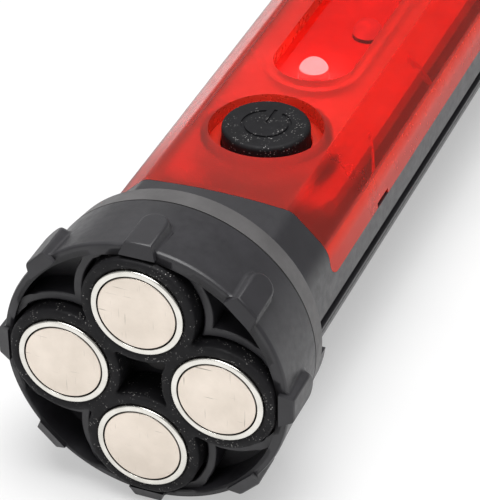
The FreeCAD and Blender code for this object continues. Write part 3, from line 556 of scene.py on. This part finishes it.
def make_rib(name, places, look):
    """A thin moulded rib under the lens, along (x, y) places on its right facet."""
    thick, deep, chamfer = 0.45, 1.5, 0.12
    work = bmesh.new()
    rings = []
    for number, (x, y) in enumerate(places):
        before, after = places[max(number - 1, 0)], places[min(number + 1, len(places) - 1)]
        along = Vector((after[0] - before[0], after[1] - before[1])).normalized()
        side = Vector((-along.y, along.x)) * thick / 2.0
        top = inner_height(x)
        corners = ((side, top - deep), (side, top - chamfer), (side * 0.4, top),
                   (side * -0.4, top), (-side, top - chamfer), (-side, top - deep))
        rings.append([work.verts.new(((x + shift.x) * MM, (y + shift.y) * MM, z * MM))
                      for shift, z in corners])
    for first, second in zip(rings, rings[1:]):
        for step in range(len(first)):
            after = (step + 1) % len(first)
            work.faces.new((first[step], first[after], second[after], second[step]))
    work.faces.new(rings[0])
    work.faces.new(list(reversed(rings[-1])))
    thing = as_object(work, name)
    dress(thing, "lens_shell", (LOOKS[look],))
    finish_edges(thing, 0.0)


def make_ribs():
    """An arc beside the button well and a short rib across the facet behind it."""
    radius, start, sweep, steps = 17.9, 36.0, 23.0, 10
    turns = [math.radians(start - sweep * step / steps) for step in range(steps + 1)]
    arc = [(radius * math.cos(turn), WELL_Y + radius * math.sin(turn)) for turn in turns]
    make_rib("well_rib", arc, "red_rib")
    inner_end, length, steps, y = 12.9, 4.5, 6, 90.5
    across = [(inner_end + length * step / steps, y) for step in range(steps + 1)]
    make_rib("cross_rib", across, "red_floor")


def make_lamps():
    """Signal lamps: a pale dome over a dark base band that is painted shade, and the first one's
    top glows as a painted highlight.
    """
    looks = (LOOKS["lamp_dome"], LOOKS["black_plastic"], LOOKS["painted_highlight_dome"])
    for number in range(1, 8):
        node = "signal_lamp_%d" % number
        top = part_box(node)[1][2] / MM
        # Faces above the first threshold glow as the painted highlight; only the first lamp has
        # them.
        painted_highlight_from, painted_shade_below = (top - 1.8, 0.0) if number == 1 else (top + 1.0, top - 2.75)

        # Faces below the second threshold take black plastic as a painted shade line round the
        # lamp's foot; the first lamp has none.
        def zone(centre, normal):
            return 1 if centre.z < painted_shade_below else 2 if centre.z > painted_highlight_from else 0

        moulded_copy(node, 0.0, materials=looks, choose=zone)


def make_well_floor():
    """The red floor of the button well, a ring round the button."""
    low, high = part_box("power_button")
    centre = ((low[0] + high[0]) / 2.0, (low[1] + high[1]) / 2.0)
    inner, outer, top, bottom, corner = 7.95, 10.02, 12.3, 11.7, 0.15
    edge = arc_points((inner + corner, top - corner), corner, 180.0, 90.0)
    ring = lathe("well_floor", edge + [(outer, top), (outer, bottom), (inner, bottom)])
    upright = Matrix.Rotation(math.radians(90.0), 4, "X")
    ring.data.transform(Matrix.Translation((centre[0], centre[1], 0.0)) @ upright)
    dress(ring, "lens_shell", (LOOKS["red_floor"],))


make_body()
make_ribs()
make_lamps()
make_well_floor()
make_cap()
make_button()

ROUNDED = {
    "threaded_collar": 0.25,
    "head_bezel": 0.35,
    "head_collar": 0.25,
    "hanging_hook": 0.4,
    "head_window": 0.3,
    "housing_screws": 0.3,
}
for node, width in ROUNDED.items():
    moulded_copy(node, width)

REMADE = {"lens_shell", "front_housing", "back_housing", "magnet_boot", "magnet_cap",
          "power_button", *ROUNDED}
NUMBERED = ("magnet_cup", "magnet_core", "signal_lamp")
REMADE |= {node for node in frame["nodes"] if node.startswith(NUMBERED)}
for node, thing in frame["nodes"].items():
    if node not in REMADE:
        thing.data.materials.clear()
        thing.data.materials.append(LOOKS[SLOT_OF[node]])


# ---------------------------------------------------------------- studio

def link_aimed(thing, spot, aim, roll=0.0):
    """Put a camera or light at a spot, in metres, and turn it to look at another."""
    bpy.context.scene.collection.objects.link(thing)
    turn = (aim - spot).to_track_quat("-Z", "Y").to_matrix()
    turn = turn @ Matrix.Rotation(roll, 3, "Z")
    thing.matrix_world = Matrix.Translation(spot) @ turn.to_4x4()


def make_camera():
    """The photograph's view."""
    spot, aim = Vector((150.95, -316.47, 275.28)) * MM, Vector((1.45, 39.36, 0.12)) * MM
    focal_per_height, sensor = 5.5396, 36.0
    lens = bpy.data.cameras.new("camera")
    lens.sensor_fit = "VERTICAL"
    lens.sensor_height = sensor
    lens.lens = sensor * focal_per_height
    lens.clip_start = 0.01
    camera = bpy.data.objects.new("camera", lens)
    link_aimed(camera, spot, aim, math.radians(-0.9))
    bpy.context.scene.camera = camera


def soft_light(name, spot, size, radiance):
    """A rectangular soft box whose face has the given brightness."""
    lamp = bpy.data.lights.new(name, "AREA")
    lamp.shape = "RECTANGLE"
    lamp.size, lamp.size_y = size
    lamp.energy = radiance * math.pi * size[0] * size[1]
    link_aimed(bpy.data.objects.new(name, lamp), Vector(spot), Vector((0.0, 0.06, 0.0)))


def make_lights():
    world = bpy.data.worlds.new("studio")
    world.use_nodes = True
    backdrop = world.node_tree.nodes["Background"]
    backdrop.inputs["Color"].default_value = (1.0, 1.0, 1.0, 1.0)
    backdrop.inputs["Strength"].default_value = 0.32
    bpy.context.scene.world = world
    soft_light("top_light", (0.05, 0.0, 0.9), (0.7, 0.7), 7.5)
    soft_light("rear_light", (-0.75, 0.75, 0.62), (0.9, 0.55), 0.75)
    soft_light("front_light", (-0.35, -0.9, 0.42), (0.8, 0.5), 1.1)


def make_floor():
    """A pale floor, faintly lit from itself so that it reads white."""
    gap = 0.0002
    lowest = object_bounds()[0][2]
    bpy.ops.mesh.primitive_plane_add(size=6.0, location=(0.0, 0.1, lowest - gap))
    floor = bpy.context.object
    floor.name = "studio_floor"
    surface = Surface("studio_floor")
    surface.colour(surface.ramp(surface.noise(40.0, 2.0), ((0.3, grey(0.42)), (0.7, grey(0.45)))))
    surface.set(Roughness=0.9, Specular_IOR_Level=0.1)
    surface.set(Emission_Color=(1.0, 1.0, 1.0, 1.0), Emission_Strength=0.42)
    floor.data.materials.append(surface.material)


make_camera()
make_lights()
make_floor()
bpy.context.scene.view_settings.view_transform = "Standard"
